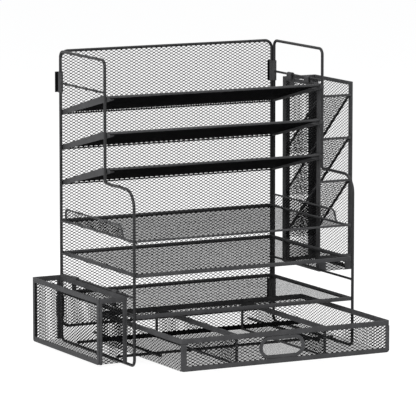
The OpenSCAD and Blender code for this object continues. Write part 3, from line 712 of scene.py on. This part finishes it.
def upper_tray(n):
    """Sloping tray: rolled edge, flanges with ears, corner folds, rear hem and a mesh floor."""
    roll_z = ROLL_Z - (n - 1) * TRAY_PITCH
    half = TRAY_X - FLANGE
    top = roll_z + ROLL / 2
    low = roll_z - TRAY_FALL - FLANGE_DROP
    bm = bmesh.new()
    reach, y = half + ROLL_LAP, UPPER_Y + ROLL_SETBACK
    straight_wire(bm, (-reach, y, roll_z), (reach, y, roll_z), ROLL)
    outline = [(UPPER_Y + back, top - down) for back, down in FLANGE_EAR]
    outline += [(TRAY_BACK, low), (TRAY_BACK, low + FLANGE_REAR_H)]
    outline += [(UPPER_Y + back, top - down) for back, down in FLANGE_TOP]
    for x in (-TRAY_X, half):
        add_plate(bm, [(x, y, z) for y, z in outline], (FLANGE, 0, 0), FLANGE_FOLD)
    for side in (-1, 1):
        fold = [
            (side * (TRAY_X - inward), UPPER_Y + CORNER_FOLD_Y, top - down)
            for inward, down in CORNER_FOLD
        ]
        add_plate(bm, fold, (0, -CORNER_FOLD_T, 0), CORNER_FOLD_EDGE)
    rear_hem(bm, half, low)
    piece(f"upper_tray_{n}_edges", outward(bm), "hem", "frame", f"upper_tray_{n}_rim")

    lo, hi = box(f"upper_tray_{n}_mesh")
    rise, run = hi.z - lo.z, hi.y - lo.y
    slope = math.atan2(rise, run)
    length = math.hypot(rise, run) - FLOOR_SHORTER
    bm = expanded_mesh(hi.x - lo.x, length, thick=FLOOR_THICK, tilt=0)
    place = Matrix.Translation((lo.x, lo.y, hi.z - FLOOR_UNDER))
    bm.transform(place @ Matrix.Rotation(-slope, 4, "X"))
    piece(
        f"upper_tray_{n}_floor", outward(bm), "mesh", "frame", f"upper_tray_{n}_mesh",
        crease=MESH_CREASE,
    )


def rear_hem(bm, half, low):
    """Bar with a row of teeth, which leave slots between them, and nubs along its low edge."""
    own = bmesh.new()
    add_strip(
        own, (-half - HEM_LAP, TRAY_BACK - HEM, low + HEM_BAR[0]),
        (half + HEM_LAP, TRAY_BACK, low + HEM_BAR[1]),
    )
    slots = round(2 * half / MESH_LONG)
    pitch = 2 * half / slots
    for i in range(slots + 1):
        x = -half + i * pitch
        if 0 < i < slots:
            add_strip(
                own, (x - HEM_TOOTH_W / 2, TRAY_BACK - HEM_TOOTH_Y[0], low + HEM_TOOTH[0]),
                (x + HEM_TOOTH_W / 2, TRAY_BACK - HEM_TOOTH_Y[1], low + HEM_TOOTH[1]),
                HEM_TOOTH_FOLD, 1,
            )
        if i < slots:
            add_nugget(own, (x + pitch / 2, TRAY_BACK - HEM / 2, low + HEM_BAR[0]), HEM_NUB, 1)
    # The rear hem takes the near-black copy of the coat: painted shade under the tray's back.
    paint_shade(own)
    join(bm, own)


def tray_lug(bm, side, z, upright_y, way):
    """Wire lug that swings out of the rim's side to the upright."""
    x = side * (TRAY_X - RIM_T / 2)
    end = upright_y - way * (FRAME_WIRE / 2 + LUG_GAP)
    start = end - way * LUG
    add_wire(
        bm,
        [
            (x, start, z), (x, start + way * LUG_STRAIGHT, z),
            (side * FRAME_X, start + way * LUG_SWING, z), (side * FRAME_X, end, z),
        ],
        [0, LUG_BEND, LUG_BEND, 0], LUG_WIRE, sides=LUG_SIDES,
    )


def lower_tray(n):
    """Level tray: four bands, wire lugs and a mesh floor; the top one also has raised guards."""
    z = LEVELS[n]
    top, bottom = z + RIM_H / 2, z - RIM_H / 2
    side_h = SLIM_SIDE_H if n == 1 else RIM_H
    front_h = SLIM_FRONT_H if n == 1 else RIM_H
    front, back = FRONT_Y - RIM_T / 2, TRAY_BACK
    bm = bmesh.new()
    add_strip(bm, (-TRAY_X, front, top - front_h), (TRAY_X, front + RIM_T, top), RIM_FOLD)
    add_strip(bm, (-TRAY_X, back - RIM_T, bottom), (TRAY_X, back, top), RIM_FOLD)
    for side in (-1, 1):
        inner, outer = sorted((side * (TRAY_X - RIM_T), side * TRAY_X))
        add_strip(
            bm, (inner, front + RIM_SIDE_INSET, z - side_h / 2),
            (outer, back - RIM_SIDE_INSET, z + side_h / 2), RIM_FOLD,
        )
        tray_lug(bm, side, z, FRONT_Y, -1)
        tray_lug(bm, side, z, REAR_Y, 1)
        if n == 1:
            guard_wire(bm, side * (TRAY_X - RIM_T / 2), z)
    piece(f"lower_tray_{n}_bands", outward(bm), "hem", "frame", f"lower_tray_{n}_rim")
    net(f"lower_tray_{n}_floor", "frame", f"lower_tray_{n}_mesh")


def guard_wire(bm, x, z):
    """Wire over a tray's side, upright behind and raked in front."""
    add_wire(
        bm,
        [
            (x, GUARD_REAR, z), (x, GUARD_REAR, z + GUARD_H),
            (x, GUARD_FRONT + GUARD_RAKE, z + GUARD_H), (x, GUARD_FRONT, z),
        ],
        [0, *GUARD_BENDS, 0], LUG_WIRE, sides=LUG_SIDES,
    )


def guards():
    for name in ("left", "right"):
        net(f"{name}_guard_net", "frame", f"lower_tray_1_{name}_guard")


# ---------------------------------------------------------------- drawer


def drawer():
    lo, hi = box("drawer_top_band")
    size = hi - lo
    own = bmesh.new()
    bmesh.ops.create_grid(own, x_segments=1, y_segments=1, size=0.5)
    bmesh.ops.scale(own, verts=own.verts, vec=(size.x, size.y, 1))
    soften(own, own.verts[:], DRAWER_CORNER, 4, "VERTICES")
    hoop(own, HEM, size.z, TOP_STRIP_FOLD, 2)
    own.transform(Matrix.Translation(((lo.x + hi.x) / 2, (lo.y + hi.y) / 2, lo.z)))
    piece("drawer_top_strip", outward(own), "hem", "drawer", "drawer_top_band")

    banded_panel(
        "drawer_front_strip", "drawer", "drawer_front_band", FRONT_BANDS, corner=FRONT_CORNER
    )
    slot = slot_surround()
    lo = box("drawer_front_mesh")[0]
    hole = ((slot[0] - lo.x, slot[1] - lo.z), slot[2] - SLOT_LAP, slot[3] - SLOT_LAP)
    net("drawer_front_net", "drawer", "drawer_front_mesh", hole=hole)
    for wall in ("left", "right", "rear", "floor"):
        foot = REAR_FOOT if wall == "rear" else 0
        net(f"drawer_{wall}_net", "drawer", f"drawer_{wall}_mesh", foot=foot)

    for wall in ("left", "right"):
        lo, hi = box(f"drawer_{wall}_divider")
        bm = bmesh.new()
        place = Matrix.Translation(lo) @ ALONG
        add_frame(bm, (hi.y - lo.y, hi.z - lo.z), DIVIDER_BANDS, HEM, place)
        own = expanded_mesh(hi.y - lo.y - 2 * HEM, hi.z - lo.z - 2 * HEM)
        own.transform(Matrix.Translation(((lo.x + hi.x) / 2, lo.y + HEM, lo.z + HEM)) @ ALONG)
        join(bm, own)
        piece(f"drawer_{wall}_partition", outward(bm), "hem", "drawer", f"drawer_{wall}_divider")


def slot_surround():
    """Oval band round the finger slot; gives its middle's x and z, its length and its height."""
    lo, hi = box("drawer_slot_ring")
    hi.z += SLOT_RISE
    length, height = hi.x - lo.x, hi.z - lo.z
    x, z = (lo.x + hi.x) / 2, (lo.z + hi.z) / 2
    own = bmesh.new()
    r = height / 2
    ring = bmesh.ops.create_circle(own, segments=SLOT_SIDES, radius=r, cap_ends=True)["verts"]
    for v in ring:
        v.co.x += (length / 2 - r) * (1 if v.co.x > 1e-4 else -1 if v.co.x < -1e-4 else 0)
    hoop(own, SLOT_BAND, HEM, SLOT_FOLD, 3)
    own.transform(Matrix.Translation((x, hi.y, z)) @ ACROSS)
    piece("drawer_slot_surround", outward(own), "hem", "drawer", "drawer_slot_ring")
    return x, z, length, height


# ---------------------------------------------------------------- basket and holder


def add_band_frame(bm, node, bands, corner=0.0):
    """Hem of a panel in its CAD place, upright along or across the object."""
    lo, hi = box(node)
    size = hi - lo
    if size.x < size.y:
        place = Matrix.Translation(lo) @ ALONG
        add_frame(bm, (size.y, size.z), bands, size.x, place, corner)
    else:
        place = Matrix.Translation((lo.x, hi.y, lo.z)) @ ACROSS
        add_frame(bm, (size.x, size.z), bands, size.y, place, corner)


def banded_panel(name, body, node, bands, corner=0.0):
    """Piece that is such a hem alone."""
    bm = bmesh.new()
    add_band_frame(bm, node, bands, corner)
    piece(name, outward(bm), "hem", body, node)


def strap_hooks(name, body, node, side, rail_z):
    """Straps bent over a rail: long leg on the wall, half ring and short tip inside the frame."""
    lo, hi = box(node)
    bm = bmesh.new()
    inner = RAIL_WIRE / 2 + HOOK_PLAY
    outer = inner + HOOK_T
    for y in (lo.y, hi.y - HOOK_W):
        own = bmesh.new()
        section = ((inner, y, 0), (outer, y, 0), (outer, y + HOOK_W, 0), (inner, y + HOOK_W, 0))
        start = own.faces.new([own.verts.new(c) for c in section])
        pull(own, [start], (0, 0, -HOOK_LEG))
        level = [f for f in own.faces if all(abs(v.co.z) < 1e-6 for v in f.verts)]
        spun = bmesh.ops.spin(
            own, geom=level, cent=(0, 0, 0), axis=(0, -1, 0), angle=math.pi, steps=HOOK_STEPS,
            use_merge=False,
        )["geom_last"]
        last = [g for g in spun if isinstance(g, bmesh.types.BMFace)]
        pull(own, last, (0, 0, -HOOK_TIP))
        bmesh.ops.delete(own, geom=[f for f in last if f.is_valid], context="FACES_ONLY")
        bmesh.ops.remove_doubles(own, verts=own.verts, dist=MERGE)
        if side < 0:
            bmesh.ops.scale(own, verts=own.verts, vec=(-1, 1, 1))
        bmesh.ops.translate(own, verts=own.verts, vec=(side * FRAME_X, 0, rail_z))
        join(bm, own)
    piece(name, outward(bm), "hem", body, node)


def basket():
    banded_panel(
        "basket_outer_strip", "basket", "basket_outer_band", BASKET_OUTER_BANDS,
        corner=BASKET_CORNER,
    )
    banded_panel("basket_inner_strip", "basket", "basket_inner_band", BASKET_INNER_BANDS)
    lo, hi = box("basket_cross_bands")
    bm = bmesh.new()
    for y in (lo.y + HEM, hi.y):
        place = Matrix.Translation((lo.x, y, lo.z)) @ ACROSS
        add_frame(bm, (hi.x - lo.x, hi.z - lo.z), BASKET_END_BANDS, HEM, place)
    piece("basket_end_strips", outward(bm), "hem", "basket", "basket_cross_bands")
    for wall in ("outer", "inner", "front", "rear", "floor"):
        net(f"basket_{wall}_net", "basket", f"basket_{wall}_mesh")
    strap_hooks("basket_hook_straps", "basket", "basket_hooks", -1, LOWER_RAIL_Z)


def holder():
    for wall in ("outer", "inner"):
        banded_panel(f"holder_{wall}_strip", "holder", f"holder_{wall}_band", HOLDER_BANDS)
    for wall in ("outer", "inner", "floor"):
        net(f"holder_{wall}_net", "holder", f"holder_{wall}_mesh")
    for name, node, bands in (
        ("holder_rear_wall", "holder_rear_mesh", HOLDER_BANDS),
        ("holder_lip", "holder_front_lip", LIP_BANDS),
    ):
        lo, hi = box(node)
        bm = bmesh.new()
        width, height = hi.x - lo.x, hi.z - lo.z
        place = Matrix.Translation((lo.x, hi.y, lo.z)) @ ACROSS
        add_frame(bm, (width, height), bands, HEM, place)
        foot = HEM if bands[2] else 0
        own = expanded_mesh(width - 2 * HEM, height - HEM - foot)
        own.transform(Matrix.Translation((lo.x + HEM, (lo.y + hi.y) / 2, lo.z + foot)) @ ACROSS)
        join(bm, own)
        piece(name, outward(bm), "hem", "holder", node)
    for n in (1, 2, 3):
        holder_chute(n)
    strap_hooks("holder_hook_straps", "holder", "holder_hooks", 1, UPPER_RAIL_Z)


def holder_chute(n):
    """Slanted mesh sheet with a folded front rim and a narrow flange along each wall."""
    lo, hi = box(f"holder_chute_{n}")
    width = hi.x - lo.x
    rim = bmesh.new()
    add_strip(rim, (lo.x, lo.y, hi.z - CHUTE_RIM), (hi.x, lo.y + HEM, hi.z), CHUTE_RIM_FOLD)
    slope = math.radians(CHUTE_SLOPE)
    length = (hi.y - lo.y - HEM / 2 - CHUTE_LIFT * math.sin(slope)) / math.cos(slope)
    own = expanded_mesh(width, length)
    for x in (0, width - CHUTE_SIDE_T):
        flange = bmesh.new()
        add_strip(
            flange, (x, 0, 0), (x + CHUTE_SIDE_T, length - CHUTE_SIDE, CHUTE_SIDE),
            CHUTE_SIDE_FOLD, 1,
        )
        join(own, flange)
    own.transform(
        Matrix.Translation((lo.x, lo.y + HEM / 2, hi.z - CHUTE_LIFT))
        @ Matrix.Rotation(-slope, 4, "X")
    )
    join(rim, own)
    piece(
        f"holder_chute_{n}_sheet", outward(rim), "hem", "holder", f"holder_chute_{n}",
        crease=MESH_CREASE,
    )


# ---------------------------------------------------------------- studio


def seen_directly(nodes, links):
    """1 for rays from the camera, off gloss or through glass."""
    path = nodes.new("ShaderNodeLightPath")
    first = nodes.new("ShaderNodeMath")
    first.operation = "MAXIMUM"
    both = nodes.new("ShaderNodeMath")
    both.operation = "MAXIMUM"
    links.new(path.outputs["Is Camera Ray"], first.inputs[0])
    links.new(path.outputs["Is Glossy Ray"], first.inputs[1])
    links.new(first.outputs[0], both.inputs[0])
    links.new(path.outputs["Is Transmission Ray"], both.inputs[1])
    return both.outputs[0]


def backdrop(scene):
    """White to the camera, a faint cool fill to the object."""
    world = bpy.data.worlds.new("studio")
    scene.world = world
    world.use_nodes = True
    nodes, links = world.node_tree.nodes, world.node_tree.links
    nodes.clear()
    output = nodes.new("ShaderNodeOutputWorld")
    fill = nodes.new("ShaderNodeBackground")
    fill.inputs["Color"].default_value = FILL_TINT
    fill.inputs["Strength"].default_value = FILL_LIGHT
    white = nodes.new("ShaderNodeBackground")
    white.inputs["Color"].default_value = WHITE
    white.inputs["Strength"].default_value = 1.0
    mix = nodes.new("ShaderNodeMixShader")
    links.new(seen_directly(nodes, links), mix.inputs["Fac"])
    links.new(fill.outputs[0], mix.inputs[1])
    links.new(white.outputs[0], mix.inputs[2])
    links.new(mix.outputs[0], output.inputs["Surface"])


def pale_floor(scene):
    """Matt floor that also glows to the camera, so that it runs into the backdrop."""
    bm = bmesh.new()
    bmesh.ops.create_grid(bm, x_segments=1, y_segments=1, size=FLOOR_REACH)
    mesh = bpy.data.meshes.new("floor")
    bm.to_mesh(mesh)
    bm.free()
    floor = bpy.data.objects.new("floor", mesh)
    scene.collection.objects.link(floor)
    mat = bpy.data.materials.new("pale_floor")
    mat.use_nodes = True
    nodes, links = mat.node_tree.nodes, mat.node_tree.links
    nodes.clear()
    output = nodes.new("ShaderNodeOutputMaterial")
    matt = nodes.new("ShaderNodeBsdfDiffuse")
    matt.inputs["Color"].default_value = FLOOR_TONE
    glow = nodes.new("ShaderNodeEmission")
    glow.inputs["Color"].default_value = WHITE
    glow.inputs["Strength"].default_value = FLOOR_GLOW
    lit = nodes.new("ShaderNodeMixShader")
    lit.inputs["Fac"].default_value = FLOOR_GLOW_SHARE
    mix = nodes.new("ShaderNodeMixShader")
    links.new(matt.outputs[0], lit.inputs[1])
    links.new(glow.outputs[0], lit.inputs[2])
    links.new(seen_directly(nodes, links), mix.inputs["Fac"])
    links.new(matt.outputs[0], mix.inputs[1])
    links.new(lit.outputs[0], mix.inputs[2])
    links.new(mix.outputs[0], output.inputs["Surface"])
    mesh.materials.append(mat)


def studio():
    """White backdrop, pale floor, soft lamps and the camera at the photograph's place."""
    scene = bpy.context.scene
    scene.view_settings.view_transform = "Standard"
    backdrop(scene)
    pale_floor(scene)
    for name, at, size, power in LAMPS:
        lamp = bpy.data.lights.new(name, "AREA")
        lamp.size = size
        lamp.energy = power
        obj = bpy.data.objects.new(name, lamp)
        obj.location = at
        aim = Vector(LAMP_AIM) - Vector(at)
        obj.rotation_euler = aim.to_track_quat("-Z", "Y").to_euler()
        scene.collection.objects.link(obj)

    camera = bpy.data.cameras.new("camera")
    camera.sensor_width = CAMERA_SENSOR
    camera.lens = CAMERA_LENS
    obj = bpy.data.objects.new("camera", camera)
    obj.location = CAMERA_AT
    obj.rotation_euler = (math.radians(CAMERA_TILT), 0, math.radians(CAMERA_TURN))
    scene.collection.objects.link(obj)
    scene.camera = obj


for name, side in (("left", -1), ("right", 1)):
    side_frame(name, side)
    side_rail(name, side, "upper", UPPER_RAIL_Z, UPPER_Y)
    side_rail(name, side, "lower", LOWER_RAIL_Z, FRONT_Y)
floor_bars()
back_panel()
panel_clips()
for n in (1, 2, 3):
    upper_tray(n)
    lower_tray(n)
guards()
drawer()
basket()
holder()
studio()
